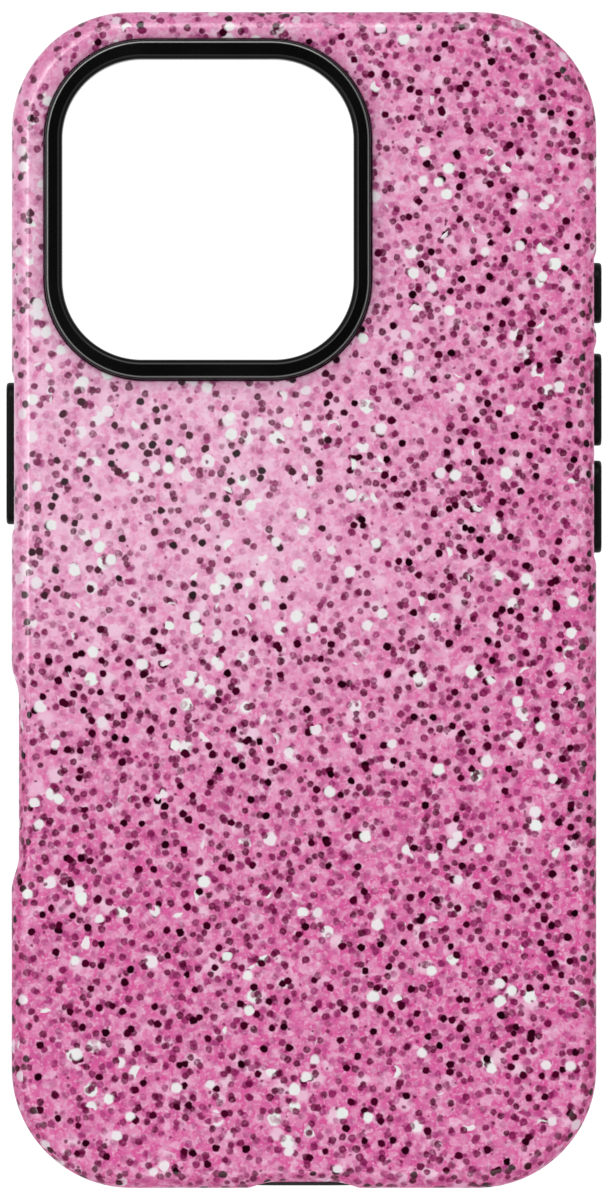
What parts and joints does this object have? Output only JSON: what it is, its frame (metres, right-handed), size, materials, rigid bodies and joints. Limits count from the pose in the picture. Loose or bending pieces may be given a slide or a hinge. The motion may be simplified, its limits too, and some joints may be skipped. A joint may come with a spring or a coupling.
{
  "type": "phone case",
  "caption": "Two-layer phone case: a glossy hard shell with a pink speckled print clips over a soft black tray with push buttons, a port opening and a raised camera collar.",
  "frame": {"origin": "middle of the plane that the case rests on, which is the underside of the tray's front flange", "axes": "+Z out of the case's back, towards the camera collar; +Y towards the phone's top end; +X to the right when the back is looked at, towards the volume buttons"},
  "size_m": [0.0788, 0.1554, 0.0138],
  "materials": {
    "shell_print": "hard clear-coated plastic printed with mixed pink, white and black speckles, glossy",
    "tray_rubber": "soft black moulded rubber, satin",
    "collar_black": "smooth black plastic, satin, with a fine polished edge",
    "button_rubber": "black moulded rubber, smooth satin"
  },
  "bodies": {
    "tray": {"inner_tray": "tray_rubber", "camera_collar": "collar_black", "side_button_web": "tray_rubber", "action_button_web": "tray_rubber", "volume_web": "tray_rubber"},
    "shell": {"outer_shell": "shell_print"},
    "side_key": {"side_button": "button_rubber"},
    "action_key": {"action_button": "button_rubber"},
    "volume_up_key": {"volume_up_button": "button_rubber"},
    "volume_down_key": {"volume_down_button": "button_rubber"}
  },
  "joints": [
    {"name": "shell_lift", "type": "slide", "parent": "tray", "child": "shell", "axis": [0, 0, 1], "range_m": [0, 0.016]},
    {"name": "side_press", "type": "slide", "parent": "tray", "child": "side_key", "axis": [1, 0, 0], "range_m": [0, 0.0005], "stiffness_N_per_m": 2000},
    {"name": "action_press", "type": "slide", "parent": "tray", "child": "action_key", "axis": [-1, 0, 0], "range_m": [0, 0.0005], "stiffness_N_per_m": 2000},
    {"name": "volume_up_press", "type": "slide", "parent": "tray", "child": "volume_up_key", "axis": [-1, 0, 0], "range_m": [0, 0.0005], "stiffness_N_per_m": 2000},
    {"name": "volume_down_press", "type": "slide", "parent": "tray", "child": "volume_down_key", "axis": [-1, 0, 0], "range_m": [0, 0.0005], "stiffness_N_per_m": 2000}
  ]
}
